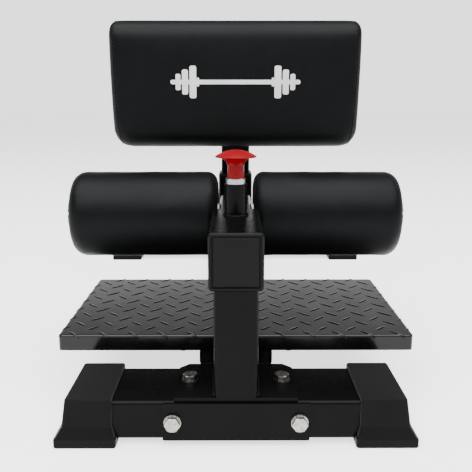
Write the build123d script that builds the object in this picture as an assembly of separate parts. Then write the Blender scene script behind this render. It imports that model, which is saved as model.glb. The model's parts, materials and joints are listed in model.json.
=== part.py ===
from build123d import *
import math
import os

# Sissy-squat bench, in millimetres.
# X runs across the bench, Y from the ankle-roller end to the calf-pad end, Z up.
# The origin is on the floor, at the middle of the bench's plan.

# ---- driving dimensions -------------------------------------------------

# Tubes: width x height, with one wall and one corner radius
BAR_DEPTH, BAR_HEIGHT = 100, 50
BAR_WALL = 3
BAR_CORNER = 5
BAR_BOTTOM = 7
BAR_TOP = BAR_BOTTOM + BAR_HEIGHT

# Stabilisers: both lie across the bench, at +-STAB_Y
STAB_INNER_Y = 410
STAB_OUTER_Y = STAB_INNER_Y + BAR_DEPTH
STAB_Y = (STAB_INNER_Y + STAB_OUTER_Y) / 2
FRONT_HALF = 201
REAR_HALF = 304
REAR_BOTTOM = 17

# Boots over the stabiliser ends
BOOT_REACH = 50
BOOT_WALL = 4
BOOT_CORNER = 3
BOOT_LIP = 3
BOOT_TOP = BAR_TOP + 5
BOOT_FLANGE = 11
BOOT_FLARE = 26

# Main beam, its end flanges and the clamp plates
FLANGE = 5
FLANGE_HALF = 90
FLANGE_LOW, FLANGE_HIGH = 18, 51
CLAMP_PLATE = 4
CLAMP_HALF = 89.5
CLAMP_X = 77
CLAMP_Z = 32

# M10 fasteners
M10 = 10
M10_HOLE = 10.6
M10_HEX = 17
M10_HEAD = 6.5
M10_NUT = 8
M10_WASHER = 21
WASHER = 2

# M8 fasteners
M8 = 8
M8_HEX = 13
M8_HEAD = 5.3
M8_NUT = 6.5

# Upright and the sleeve on top of it
BASE_PLATE = 5
UPRIGHT_WIDTH = 53
UPRIGHT_TOP = 196
UPRIGHT_BASE_HALF = 75
UPRIGHT_BOLT_X = 58.5
SLEEVE_WIDTH, SLEEVE_HEIGHT = 65, 69
SLEEVE_WALL = 3
SLEEVE_FRONT, SLEEVE_REAR = -507, -348
SLEEVE_CAP = 4
CAP_SKIRT = 11
CAP_GROOVE = 2
CAP_GROOVE_MARGIN, CAP_PANEL_MARGIN = 3.5, 5
SLEEVE_LIP = 3
GUIDE_START, GUIDE_LENGTH = -430, 26
SLEEVE_Z = UPRIGHT_TOP + SLEEVE_HEIGHT / 2
SLEEVE_TOP = UPRIGHT_TOP + SLEEVE_HEIGHT

# Slider tube
SLIDER_WIDTH, SLIDER_HEIGHT = 50, 54
SLIDER_WALL = 2.5
SLIDER_FRONT, SLIDER_REAR = -492, -164
SLIDER_TOP = SLEEVE_Z + SLIDER_HEIGHT / 2
SLIDE_FIT = 0.25
HOLE_PITCH = 25
HOLE_COUNT = 4
PIN_HOLE = 10.6

# Ankle rollers
ROLLER_Y, ROLLER_Z = -275.4, 246
ROLLER_RADIUS = 63.5
ROLLER_INNER, ROLLER_OUTER = 26, 240
ROLLER_ROUND = 15
AXLE = 16
AXLE_FIT = 0.08
CORE_OUTER, CORE_INNER = 32, 29
BUSHING_LENGTH = 20
ROLLER_CAP_RADIUS = 33
ROLLER_CAP_BULGE = 8
ROLLER_CAP_RIM = 2.5
ROLLER_CAP_WALL = 2.6
ROLLER_CAP_SKIRT = 3
AXLE_SHORT = 3.6
END_WASHER = 24
SPACER_RADIUS = 14

# Plastic plugs in tube ends
PLUG_DEPTH = 12
PLUG_HEAD = 3

# Pull pins
PIN = 10
HOUSING_RADIUS = 14.5
HOUSING_HEIGHT = 42
SPRING_CHAMBER = 18
SPRING_RADIUS, SPRING_WIRE = 7, 0.6
SPRING_TURNS = 4
SPRING_GAP = 0.4
SHOULDER_LOW, SHOULDER_HIGH = 20, 26
COUNTERBORE = 26.4
COLLAR_RADIUS = 13
COLLAR_LOW, COLLAR_HIGH = 34.5, 49.5
PIN_FLANGE_RADIUS = 8.4
PIN_FLANGE_LOW, PIN_FLANGE_HIGH = 8.4, 10.7
STEM_RADIUS = 11
STEM_TOP = 66
FLARE_RADIUS, FLARE_HEIGHT = 14.5, 72
KNOB_RADIUS = 27
KNOB_RIM = 78
RIM_HALF = 2
KNOB_TOP = 86
SLIDER_PIN_Y = -394
POST_PIN_Z = 250
PIN_GAP = 0.5

# Receiver and the pad post in it
POST_WIDTH = 50
POST_WALL = 2.5
POST_FRONT, POST_REAR = -78, -28
POST_Y = (POST_FRONT + POST_REAR) / 2
POST_BOTTOM, POST_TOP = 96, 500
RECEIVER_WIDTH = 60
RECEIVER_WALL = 3
RECEIVER_TOP = 275
RECEIVER_RIM = 10
RECEIVER_SKIRT = 40
RECEIVER_REAR = POST_Y + RECEIVER_WIDTH / 2
RECEIVER_BASE_HALF = 50
RECEIVER_BASE_LENGTH = 130
RECEIVER_BOLT_X, RECEIVER_BOLT_Y = 32, 51

# Calf pad
PAD_HALF = 210
PAD_LOW, PAD_HIGH = 335, 545
PAD_THICK = 60
PAD_BOARD = 12
PAD_TOP_CORNER, PAD_BOTTOM_CORNER = 12, 22
PAD_FRONT_ROUND = 10
BOARD_MARGIN = 15
BRACKET = 5
BRACKET_HALF = 60
BRACKET_LOW, BRACKET_HIGH = 370, 510
PAD_SCREW_X, PAD_SCREW_MARGIN = 45, 15
PAD_BACK = POST_FRONT - BRACKET

# Foot plate and what carries it
PLATE_HALF = 242.5
PLATE_FRONT, PLATE_REAR = -404, -130
PLATE_TOP = 101
PLATE_SHEET = 4
PLATE_LIP = 22
PLATE_CORNER = 6
PLATE_BEND = 3
RAIL_WIDTH, RAIL_HEIGHT = 40, 20
RAIL_WALL = 2
RAIL_HALF = 225
RAIL_BOTTOM = BAR_TOP + RAIL_HEIGHT
RAIL_YS = (-378, -165)
STUD_X = 74
STUD_LOW = 69

parts = {}


# ---- small helpers ------------------------------------------------------

def block(x0, x1, y0, y1, z0, z1):
    """Box between two opposite corners."""
    middle = Pos((x0 + x1) / 2, (y0 + y1) / 2, (z0 + z1) / 2)
    return middle * Box(x1 - x0, y1 - y0, z1 - z0)


def rod(radius, start, end):
    """Cylinder along Z between two heights."""
    return Pos(0, 0, (start + end) / 2) * Cylinder(radius, end - start)


def ring(outer, inner, start, end):
    """Round tube along Z between two heights; radii are given."""
    return rod(outer, start, end) - rod(inner, start - 1, end + 1)


def hollow(width, height, wall, corner, length):
    """Rectangular tube along Z from zero, rounded outside and inside."""
    outer = extrude(RectangleRounded(width, height, corner), length)
    bore = extrude(RectangleRounded(width - 2 * wall, height - 2 * wall, corner - wall), length)
    return outer - bore


def facing(x, y, z, axis):
    """Plane at a point whose Z runs along the axis; its X stays level."""
    across = (0, 1, 0) if axis[0] else (1, 0, 0)
    return Plane(origin=(x, y, z), x_dir=across, z_dir=axis)


def hexagon(across_flats, height):
    """Hexagonal prism on z = 0 with the upper corners turned off."""
    prism = extrude(RegularPolygon(across_flats / 2, 6, major_radius=False), height)
    turned = rod(across_flats * 0.577, 0, height)
    return prism & chamfer(turned.edges().sort_by(Axis.Z)[-1], across_flats * 0.07)


def bolt(diameter, across_flats, head, shank):
    """Hex bolt whose head stands on z = 0 and whose shank hangs below it."""
    return hexagon(across_flats, head) + rod(diameter / 2, -shank, 0)


def nut(diameter, across_flats, height):
    """Hex nut on z = 0, bored for its thread."""
    return hexagon(across_flats, height) - rod(diameter / 2, -1, height + 1)


def washer(outer, hole):
    """Flat washer on z = 0."""
    return ring(outer / 2, hole / 2, 0, WASHER)


def dome_arc(radius, low, top):
    """Arc from (radius, low) to (0, top) that meets the axis squarely."""
    rise = top - low
    sphere = (radius ** 2 + rise ** 2) / (2 * rise)
    half_turn = math.asin(radius / sphere) / 2
    middle = (sphere * math.sin(half_turn), top - sphere + sphere * math.cos(half_turn))
    return ThreePointArc((radius, low), middle, (0, top))


def group(shape, planes):
    """The same loose piece at several places, as separate solids."""
    return Compound(children=[plane * shape for plane in planes])


def drill(shape, planes, diameter, depth):
    """Cut round holes that reach a depth on both sides of each plane."""
    for plane in planes:
        shape -= plane * rod(diameter / 2, -depth, depth)
    return shape


# ---- places that several pieces share -----------------------------------

def clamp_places(y, axis):
    return [facing(x, y, CLAMP_Z, axis) for x in (-CLAMP_X, CLAMP_X)]


def upright_bolt_places(z):
    return [facing(x, -STAB_Y, z, (0, 0, 1)) for x in (-UPRIGHT_BOLT_X, UPRIGHT_BOLT_X)]


def receiver_bolt_places(z):
    return [facing(x, POST_Y + y, z, (0, 0, 1))
            for x in (-RECEIVER_BOLT_X, RECEIVER_BOLT_X)
            for y in (-RECEIVER_BOLT_Y, RECEIVER_BOLT_Y)]


def base_bolt_places(z):
    return upright_bolt_places(z) + receiver_bolt_places(z)


def stud_places(z):
    return [facing(x, y, z, (0, 0, 1)) for x in (-STUD_X, STUD_X) for y in RAIL_YS]


# ---- base frame ---------------------------------------------------------

def stabiliser(half, y, low):
    """Tube across the bench, bored for the clamp bolts."""
    bar = facing(-half, y, (low + BAR_TOP) / 2, (1, 0, 0)) * hollow(
        BAR_DEPTH, BAR_TOP - low, BAR_WALL, BAR_CORNER, 2 * half)
    return drill(bar, clamp_places(y, (0, 1, 0)), M10_HOLE, BAR_DEPTH)


def boot(half, y, side, bar_low):
    """Flared rubber boot over one stabiliser end; side is -1 or +1 along X."""
    mouth = half - BOOT_REACH
    # Each level: height, lip inside the mouth, reach past the bar, half depth
    levels = [
        (0, BOOT_LIP + 1, 20, 59),
        (1.5, BOOT_LIP + 2, 21, 60),
        (BOOT_FLANGE, BOOT_LIP + 2, 21, 60),
        (BOOT_FLANGE + 1.5, BOOT_LIP, 19, 59),
        (BOOT_FLARE, 0, 11, 56),
        (BOOT_TOP - 1.5, 0, 6, 54),
        (BOOT_TOP, -1, 4.8, 52.8),
    ]
    sections = [Pos(side * (mouth - lip + half + reach) / 2, y, z)
                * RectangleRounded(half + reach - mouth + lip, 2 * depth, BOOT_CORNER)
                for z, lip, reach, depth in levels]
    shell = loft(sections, ruled=True)
    inside = sorted((side * (mouth - 2 * BOOT_WALL), side * half))
    return shell - block(*inside, y - BAR_DEPTH / 2, y + BAR_DEPTH / 2, bar_low, BAR_TOP)


def main_beam():
    """Tube from front to rear with a welded flange at each end."""
    length = 2 * (STAB_INNER_Y - FLANGE)
    beam = facing(0, -length / 2, CLAMP_Z, (0, 1, 0)) * hollow(
        BAR_DEPTH, BAR_HEIGHT, BAR_WALL, BAR_CORNER, length)
    for sign in (-1, 1):
        near, far = sorted((sign * length / 2, sign * STAB_INNER_Y))
        beam += block(-FLANGE_HALF, FLANGE_HALF, near, far, FLANGE_LOW, FLANGE_HIGH)
        beam = drill(beam, clamp_places(sign * STAB_INNER_Y, (0, 1, 0)), M10_HOLE, 2 * FLANGE)
    return drill(beam, receiver_bolt_places(BAR_TOP), M10_HOLE, 2 * BAR_WALL)


def clamp_plate(sign, bar_low):
    """Plate on the outer face of a stabiliser."""
    near, far = sorted((sign * STAB_OUTER_Y, sign * (STAB_OUTER_Y + CLAMP_PLATE)))
    plate = block(-CLAMP_HALF, CLAMP_HALF, near, far, bar_low + 0.5, BAR_TOP - 1)
    plate = fillet(plate.edges().filter_by(Axis.Y), 2)
    return drill(plate, clamp_places(sign * STAB_OUTER_Y, (0, 1, 0)), M10_HOLE, 2 * CLAMP_PLATE)


def clamp_fasteners():
    """Bolts from outside, through stabiliser and flange, into nuts behind."""
    outer = STAB_OUTER_Y + CLAMP_PLATE
    inner = STAB_INNER_Y - FLANGE
    shank = outer + WASHER - inner + M10_NUT + 4
    heads, washers, nuts = [], [], []
    for sign in (-1, 1):
        heads += clamp_places(sign * (outer + WASHER), (0, sign, 0))
        washers += clamp_places(sign * outer, (0, sign, 0))
        nuts += clamp_places(sign * inner, (0, -sign, 0))
    parts["clamp_bolts"] = group(bolt(M10, M10_HEX, M10_HEAD, shank), heads)
    parts["clamp_washers"] = group(washer(M10_WASHER, M10_HOLE), washers)
    parts["clamp_nuts"] = group(nut(M10, M10_HEX, M10_NUT), nuts)


def base_plate_fasteners():
    """Bolts of the upright and the receiver, with nuts welded in the tubes."""
    top = BAR_TOP + BASE_PLATE
    shank = WASHER + BASE_PLATE + BAR_WALL + M10_NUT + 3
    parts["base_plate_bolts"] = group(
        bolt(M10, M10_HEX, M10_HEAD, shank), base_bolt_places(top + WASHER))
    parts["base_plate_washers"] = group(washer(M10_WASHER, M10_HOLE), base_bolt_places(top))
    parts["base_plate_weld_nuts"] = group(
        nut(M10, M10_HEX, M10_NUT), base_bolt_places(BAR_TOP - BAR_WALL - M10_NUT))


def upright_base_plate():
    """Plate over the front stabiliser with its two rear corners cut off."""
    plate = block(-UPRIGHT_BASE_HALF, UPRIGHT_BASE_HALF, -STAB_OUTER_Y, -STAB_INNER_Y,
                  BAR_TOP, BAR_TOP + BASE_PLATE)
    corners = plate.edges().filter_by(Axis.Z)
    plate = chamfer(corners.group_by(Axis.Y)[-1], 12)
    return drill(plate, upright_bolt_places(BAR_TOP), M10_HOLE, 2 * BASE_PLATE)


def upright_tube():
    """Post between the front base plate and the sleeve."""
    low = BAR_TOP + BASE_PLATE
    return facing(0, -STAB_Y, low, (0, 0, 1)) * hollow(
        UPRIGHT_WIDTH, BAR_DEPTH, BAR_WALL, BAR_CORNER, UPRIGHT_TOP - low)


def slider_sleeve():
    """Level tube that guides the slider, with the pin's hole in its top."""
    sleeve = facing(0, SLEEVE_FRONT, SLEEVE_Z, (0, 1, 0)) * hollow(
        SLEEVE_WIDTH, SLEEVE_HEIGHT, SLEEVE_WALL, BAR_CORNER, SLEEVE_REAR - SLEEVE_FRONT)
    hole = facing(0, SLIDER_PIN_Y, SLEEVE_TOP, (0, 0, 1))
    return drill(sleeve, [hole], PIN_HOLE, 2 * SLEEVE_WALL)


def sleeve_end_cap():
    """Plastic cap: bevelled rim, a groove, a raised panel and a skirt inside."""
    face = facing(0, SLEEVE_FRONT, SLEEVE_Z, (0, -1, 0))
    rim = extrude(RectangleRounded(SLEEVE_WIDTH, SLEEVE_HEIGHT, BAR_CORNER), SLEEVE_CAP)
    rim = chamfer(rim.faces().sort_by(Axis.Z)[-1].edges(), 1.5)
    groove, panel = [
        extrude(RectangleRounded(SLEEVE_WIDTH - 2 * margin, SLEEVE_HEIGHT - 2 * margin, 2.5),
                CAP_GROOVE)
        for margin in (CAP_GROOVE_MARGIN, CAP_PANEL_MARGIN)]
    panel = chamfer(panel.faces().sort_by(Axis.Z)[-1].edges(), 1)
    seat = SLEEVE_CAP - CAP_GROOVE
    cap = rim - Pos(0, 0, seat) * groove + Pos(0, 0, seat) * panel
    skirt = hollow(SLEEVE_WIDTH - 2 * SLEEVE_WALL, SLEEVE_HEIGHT - 2 * SLEEVE_WALL, SLEEVE_WALL,
                   SLEEVE_WALL + 0.5, CAP_SKIRT)
    return face * (cap + Pos(0, 0, -CAP_SKIRT) * skirt)


def guide(length):
    """Plastic ring that fills the gap between sleeve and slider."""
    ring_block = extrude(RectangleRounded(
        SLEEVE_WIDTH - 2 * SLEEVE_WALL, SLEEVE_HEIGHT - 2 * SLEEVE_WALL,
        BAR_CORNER - SLEEVE_WALL), length)
    bore = extrude(RectangleRounded(
        SLIDER_WIDTH + 2 * SLIDE_FIT, SLIDER_HEIGHT + 2 * SLIDE_FIT, BAR_CORNER), length)
    return ring_block - bore


def sleeve_front_bushing():
    return facing(0, GUIDE_START, SLEEVE_Z, (0, 1, 0)) * guide(GUIDE_LENGTH)


def sleeve_rear_bushing():
    """Guide ring with a lip that covers the end of the sleeve."""
    lip = extrude(RectangleRounded(SLEEVE_WIDTH, SLEEVE_HEIGHT, BAR_CORNER), SLEEVE_LIP)
    lip = chamfer(lip.faces().sort_by(Axis.Z)[-1].edges(), 1)
    lip -= extrude(RectangleRounded(
        SLIDER_WIDTH + 2 * SLIDE_FIT, SLIDER_HEIGHT + 2 * SLIDE_FIT, BAR_CORNER), SLEEVE_LIP)
    return facing(0, SLEEVE_REAR - GUIDE_LENGTH, SLEEVE_Z, (0, 1, 0)) * (
        guide(GUIDE_LENGTH) + Pos(0, 0, GUIDE_LENGTH) * lip)


# ---- pull pins ----------------------------------------------------------

def pin_housing():
    """Round housing on z = 0: spring chamber, shoulder, counterbore."""
    body = rod(HOUSING_RADIUS, 0, HOUSING_HEIGHT)
    body = chamfer(body.edges().sort_by(Axis.Z)[-1], 0.5)
    body -= rod(SPRING_CHAMBER / 2, -1, SHOULDER_LOW)
    body -= rod(PIN_HOLE / 2, SHOULDER_LOW - 1, SHOULDER_HIGH + 1)
    return body - rod(COUNTERBORE / 2, SHOULDER_HIGH, HOUSING_HEIGHT + 1)


def pull_pin(tip):
    """Turned steel pin from its tip up into the knob, with flange and collar."""
    shaft = rod(PIN / 2, tip, STEM_TOP)
    shaft = chamfer(shaft.edges().sort_by(Axis.Z)[0], 1)
    flange = rod(PIN_FLANGE_RADIUS, PIN_FLANGE_LOW, PIN_FLANGE_HIGH)
    collar = rod(COLLAR_RADIUS, COLLAR_LOW, COLLAR_HIGH)
    collar = chamfer(collar.edges().group_by(Axis.Z)[-1], 1)
    return shaft + flange + collar


def pin_knob():
    """Mushroom knob: stem, flare, rim and domed top, bored for the pin."""
    with BuildPart() as knob:
        with BuildSketch(Plane.XZ):
            with BuildLine():
                base = Line((0, COLLAR_HIGH), (STEM_RADIUS, COLLAR_HIGH))
                side = Line(base @ 1, (STEM_RADIUS - 0.3, STEM_TOP))
                flare = ThreePointArc(side @ 1, (FLARE_RADIUS, FLARE_HEIGHT),
                                      (KNOB_RADIUS - 1, KNOB_RIM - RIM_HALF))
                ThreePointArc(flare @ 1, (KNOB_RADIUS, KNOB_RIM - RIM_HALF / 2),
                              (KNOB_RADIUS - 1, KNOB_RIM))
                dome = dome_arc(KNOB_RADIUS - 1, KNOB_RIM, KNOB_TOP)
                Line(dome @ 1, base @ 0)
            make_face()
        revolve(axis=Axis.Z)
    return knob.part - rod(PIN / 2, COLLAR_HIGH - 1, STEM_TOP)


def pin_spring():
    """Coil spring between the pin's flange and the housing's shoulder."""
    length = SHOULDER_LOW - PIN_FLANGE_HIGH - 2 * (SPRING_WIRE + SPRING_GAP)
    path = Helix(pitch=length / SPRING_TURNS, height=length, radius=SPRING_RADIUS)
    section = Plane(path @ 0, z_dir=path % 0) * Circle(SPRING_WIRE)
    coil = sweep(section, path=path, is_frenet=True)
    return Pos(0, 0, PIN_FLANGE_HIGH + SPRING_WIRE + SPRING_GAP) * coil


def add_pin(name, plane, stock, clearance):
    """Housing, pin, knob and spring; stock is the wall under the housing."""
    parts[name + "_pin_housing"] = plane * pin_housing()
    parts[name + "_pin"] = plane * pull_pin(-(stock + clearance - PIN_GAP))
    parts[name + "_pin_knob"] = plane * pin_knob()
    parts[name + "_pin_spring"] = plane * pin_spring()


# ---- slider and ankle rollers -------------------------------------------

def slider_tube():
    """Tube with a row of pin holes in its top and a cross hole for the axle."""
    tube = facing(0, SLIDER_FRONT, SLEEVE_Z, (0, 1, 0)) * hollow(
        SLIDER_WIDTH, SLIDER_HEIGHT, SLIDER_WALL, BAR_CORNER, SLIDER_REAR - SLIDER_FRONT)
    holes = [facing(0, SLIDER_PIN_Y - HOLE_PITCH * i, SLIDER_TOP, (0, 0, 1))
             for i in range(HOLE_COUNT)]
    tube = drill(tube, holes, PIN_HOLE, 2 * SLIDER_WALL)
    return drill(tube, [facing(0, ROLLER_Y, ROLLER_Z, (1, 0, 0))], AXLE, SLIDER_WIDTH)


def slider_end_cap():
    """Plastic plug in the slider's rear end."""
    plug = extrude(RectangleRounded(
        SLIDER_WIDTH - 2 * SLIDER_WALL, SLIDER_HEIGHT - 2 * SLIDER_WALL,
        BAR_CORNER - SLIDER_WALL), PLUG_DEPTH)
    head = extrude(RectangleRounded(SLIDER_WIDTH, SLIDER_HEIGHT, BAR_CORNER), PLUG_HEAD)
    head = chamfer(head.faces().sort_by(Axis.Z)[-1].edges(), 1)
    return facing(0, SLIDER_REAR, SLEEVE_Z, (0, 1, 0)) * (head + Pos(0, 0, -PLUG_DEPTH) * plug)


def axle_plane(side):
    """Plane on the axle at the bench's middle, pointing out of one side."""
    return facing(0, ROLLER_Y, ROLLER_Z, (side, 0, 0))


def axle_pieces():
    """Axle through the slider, with spacers, end washers and end bolts."""
    reach = ROLLER_OUTER - AXLE_SHORT
    sides = [axle_plane(-1), axle_plane(1)]
    axle = rod(AXLE / 2, -reach, reach)
    for sign in (-1, 1):
        ends = sorted((sign * (reach - 24), sign * (reach + 1)))
        axle -= rod(M8 / 2, *ends)
    parts["roller_axle"] = axle_plane(1) * axle
    spacer = ring(SPACER_RADIUS, AXLE / 2, SLIDER_WIDTH / 2, ROLLER_INNER - 0.2)
    parts["axle_spacers"] = group(spacer, sides)
    parts["axle_end_washers"] = group(
        Pos(0, 0, reach) * washer(END_WASHER, M8), sides)
    parts["axle_end_bolts"] = group(
        Pos(0, 0, reach + WASHER) * bolt(M8, M8_HEX, M8_HEAD, 20), sides)


def roller_foam():
    """Padded roller along Z with rounded shoulders and a bore for its core."""
    foam = rod(ROLLER_RADIUS, ROLLER_INNER, ROLLER_OUTER)
    foam = fillet(foam.edges().filter_by(GeomType.CIRCLE), ROLLER_ROUND)
    return foam - rod(CORE_OUTER / 2, ROLLER_INNER - 1, ROLLER_OUTER + 1)


def roller_bushings():
    """Two plain nylon bushings pressed into the core tube."""
    start = ROLLER_INNER + 0.2
    end = ROLLER_OUTER - 4
    bore = AXLE / 2 + AXLE_FIT
    inner = ring(CORE_INNER / 2, bore, start, start + BUSHING_LENGTH)
    outer = ring(CORE_INNER / 2, bore, end - BUSHING_LENGTH, end)
    return Compound(children=[inner, outer])


def roller_cap():
    """Domed cap on the roller's outer end; it hides the axle's bolt."""
    recess = CORE_INNER / 2 - 1.5
    with BuildPart() as cap:
        with BuildSketch(Plane.XZ):
            with BuildLine():
                foot = Line((0, 0), (ROLLER_CAP_RADIUS, 0))
                Line(foot @ 1, (ROLLER_CAP_RADIUS, ROLLER_CAP_RIM))
                dome = dome_arc(ROLLER_CAP_RADIUS, ROLLER_CAP_RIM, ROLLER_CAP_BULGE)
                Line(dome @ 1, foot @ 0)
            make_face()
        revolve(axis=Axis.Z)
    skirt = rod(CORE_INNER / 2, -ROLLER_CAP_SKIRT, 1)
    hollowing = rod(recess, -ROLLER_CAP_SKIRT - 1, ROLLER_CAP_BULGE - ROLLER_CAP_WALL)
    return Pos(0, 0, ROLLER_OUTER) * (cap.part + skirt - hollowing)


def add_roller(name, side):
    plane = axle_plane(side)
    core = ring(CORE_OUTER / 2, CORE_INNER / 2, ROLLER_INNER + 0.5, ROLLER_OUTER)
    parts[name + "_roller_foam"] = plane * roller_foam()
    parts[name + "_roller_core"] = plane * core
    parts[name + "_roller_bushings"] = plane * roller_bushings()
    parts[name + "_roller_cap"] = plane * roller_cap()


# ---- receiver, post and calf pad ----------------------------------------

def post_receiver():
    """Upright tube that holds the post, with the pin's hole in its back."""
    low = BAR_TOP + BASE_PLATE
    tube = facing(0, POST_Y, low, (0, 0, 1)) * hollow(
        RECEIVER_WIDTH, RECEIVER_WIDTH, RECEIVER_WALL, BAR_CORNER, RECEIVER_TOP - low)
    hole = facing(0, RECEIVER_REAR, POST_PIN_Z, (0, 1, 0))
    return drill(tube, [hole], PIN_HOLE, 2 * RECEIVER_WALL)


def receiver_base_plate():
    """Plate under the receiver, bolted to the main beam."""
    half = RECEIVER_BASE_LENGTH / 2
    plate = block(-RECEIVER_BASE_HALF, RECEIVER_BASE_HALF, POST_Y - half, POST_Y + half,
                  BAR_TOP, BAR_TOP + BASE_PLATE)
    plate = fillet(plate.edges().filter_by(Axis.Z), 8)
    return drill(plate, receiver_bolt_places(BAR_TOP), M10_HOLE, 2 * BASE_PLATE)


def receiver_bushing():
    """Plastic mouth of the receiver: rounded rim above, thin skirt inside."""
    inner = RECEIVER_WIDTH - 2 * RECEIVER_WALL
    rim = extrude(RectangleRounded(RECEIVER_WIDTH, RECEIVER_WIDTH, BAR_CORNER), RECEIVER_RIM)
    rim = fillet(rim.faces().sort_by(Axis.Z)[-1].edges(), 4)
    skirt = extrude(RectangleRounded(inner, inner, BAR_CORNER - RECEIVER_WALL), RECEIVER_SKIRT)
    bore_width = POST_WIDTH + 2 * SLIDE_FIT
    bore = extrude(RectangleRounded(bore_width, bore_width, BAR_CORNER),
                   RECEIVER_SKIRT + RECEIVER_RIM)
    bushing = rim + Pos(0, 0, -RECEIVER_SKIRT) * (skirt - bore) - bore
    bushing = facing(0, POST_Y, RECEIVER_TOP, (0, 0, 1)) * bushing
    hole = facing(0, RECEIVER_REAR, POST_PIN_Z, (0, 1, 0))
    return drill(bushing, [hole], PIN_HOLE, 2 * RECEIVER_WALL)


def pad_post():
    """Tube that carries the pad, with a row of pin holes in its back."""
    tube = facing(0, POST_Y, POST_BOTTOM, (0, 0, 1)) * hollow(
        POST_WIDTH, POST_WIDTH, POST_WALL, BAR_CORNER, POST_TOP - POST_BOTTOM)
    holes = [facing(0, POST_REAR, POST_PIN_Z - HOLE_PITCH * i, (0, 1, 0))
             for i in range(-1, HOLE_COUNT)]
    return drill(tube, holes, PIN_HOLE, 2 * POST_WALL)


def post_top_cap():
    """Plastic plug in the top of the post."""
    inner = POST_WIDTH - 2 * POST_WALL
    head = extrude(RectangleRounded(POST_WIDTH, POST_WIDTH, BAR_CORNER), PLUG_HEAD)
    head = chamfer(head.faces().sort_by(Axis.Z)[-1].edges(), 1)
    plug = extrude(RectangleRounded(inner, inner, BAR_CORNER - POST_WALL), PLUG_DEPTH)
    return facing(0, POST_Y, POST_TOP, (0, 0, 1)) * (head + Pos(0, 0, -PLUG_DEPTH) * plug)


def pad_screw_places(y):
    return [facing(x, y, z, (0, 1, 0)) for x in (-PAD_SCREW_X, PAD_SCREW_X)
            for z in (BRACKET_LOW + PAD_SCREW_MARGIN, BRACKET_HIGH - PAD_SCREW_MARGIN)]


def pad_bracket():
    """Plate welded to the front of the post, screwed to the pad's board."""
    plate = block(-BRACKET_HALF, BRACKET_HALF, PAD_BACK, POST_FRONT, BRACKET_LOW, BRACKET_HIGH)
    plate = fillet(plate.edges().filter_by(Axis.Y), 10)
    return drill(plate, pad_screw_places(POST_FRONT), M8, 2 * BRACKET)


def pad_board():
    """Plywood board let into the back of the pad."""
    board = block(-PAD_HALF + BOARD_MARGIN, PAD_HALF - BOARD_MARGIN,
                  PAD_BACK - PAD_BOARD, PAD_BACK,
                  PAD_LOW + BOARD_MARGIN, PAD_HIGH - BOARD_MARGIN)
    return fillet(board.edges().filter_by(Axis.Y), 10)


def calf_pad(board, screws):
    """Cushion with rounded front edges, hollowed for its board and screws."""
    front = PAD_BACK - PAD_THICK
    pad = block(-PAD_HALF, PAD_HALF, front, PAD_BACK, PAD_LOW, PAD_HIGH)
    corners = pad.edges().filter_by(Axis.Y).group_by(Axis.Z)
    pad = fillet(corners[0], PAD_BOTTOM_CORNER)
    corners = pad.edges().filter_by(Axis.Y).filter_by(
        lambda edge: edge.center().Z > PAD_HIGH - 1)
    pad = fillet(corners, PAD_TOP_CORNER)
    pad = fillet(pad.faces().sort_by(Axis.Y)[0].edges(), PAD_FRONT_ROUND)
    return pad - board - screws


def add_pad():
    shank = BRACKET + PAD_BOARD + 3
    screws = group(bolt(M8, M8_HEX, M8_HEAD, shank), pad_screw_places(POST_FRONT))
    board = pad_board()
    parts["calf_pad"] = calf_pad(board, screws)
    parts["pad_board"] = drill(board, pad_screw_places(PAD_BACK), M8, 2 * PAD_BOARD)
    parts["pad_screws"] = screws
    parts["pad_bracket"] = pad_bracket()
    parts["pad_post"] = pad_post()
    parts["post_top_cap"] = post_top_cap()


# ---- foot plate ---------------------------------------------------------

def foot_plate():
    """Folded sheet: flat top with a lip turned down along every edge."""
    pan = block(-PLATE_HALF, PLATE_HALF, PLATE_FRONT, PLATE_REAR,
                PLATE_TOP - PLATE_LIP, PLATE_TOP)
    pan = fillet(pan.edges().filter_by(Axis.Z), PLATE_CORNER)
    pan = fillet(pan.faces().sort_by(Axis.Z)[-1].edges(), PLATE_BEND)
    inside = block(-PLATE_HALF + PLATE_SHEET, PLATE_HALF - PLATE_SHEET,
                   PLATE_FRONT + PLATE_SHEET, PLATE_REAR - PLATE_SHEET,
                   PLATE_TOP - PLATE_LIP - 1, PLATE_TOP - PLATE_SHEET)
    return pan - fillet(inside.edges().filter_by(Axis.Z), PLATE_CORNER - PLATE_SHEET)


def foot_plate_rails():
    """Two cross tubes under the sheet, bored for its studs."""
    rails = []
    for y in RAIL_YS:
        rail = facing(-RAIL_HALF, y, RAIL_BOTTOM + RAIL_HEIGHT / 2, (1, 0, 0)) * hollow(
            RAIL_WIDTH, RAIL_HEIGHT, RAIL_WALL, RAIL_WALL + 1, 2 * RAIL_HALF)
        studs = [place for place in stud_places(RAIL_BOTTOM) if place.origin.Y == y]
        rails.append(drill(rail, studs, M8, 2 * RAIL_HEIGHT))
    return Compound(children=rails)


def rail_end_caps():
    """Plastic plugs in the four rail ends."""
    plug = extrude(RectangleRounded(
        RAIL_WIDTH - 2 * RAIL_WALL, RAIL_HEIGHT - 2 * RAIL_WALL, 1), PLUG_DEPTH)
    head = extrude(RectangleRounded(RAIL_WIDTH, RAIL_HEIGHT, RAIL_WALL + 1), PLUG_HEAD)
    cap = head + Pos(0, 0, -PLUG_DEPTH) * plug
    return group(cap, [facing(side * RAIL_HALF, y, RAIL_BOTTOM + RAIL_HEIGHT / 2, (side, 0, 0))
                       for side in (-1, 1) for y in RAIL_YS])


def foot_plate_risers():
    """Short tubes that lift the rails off the main beam."""
    risers = []
    for y in RAIL_YS:
        plane = facing(0, y - RAIL_WIDTH / 2, BAR_TOP + RAIL_HEIGHT / 2, (0, 1, 0))
        risers.append(plane * hollow(
            BAR_DEPTH, RAIL_HEIGHT, RAIL_WALL, RAIL_WALL + 1, RAIL_WIDTH))
    return Compound(children=risers)


# ---- build --------------------------------------------------------------

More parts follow.
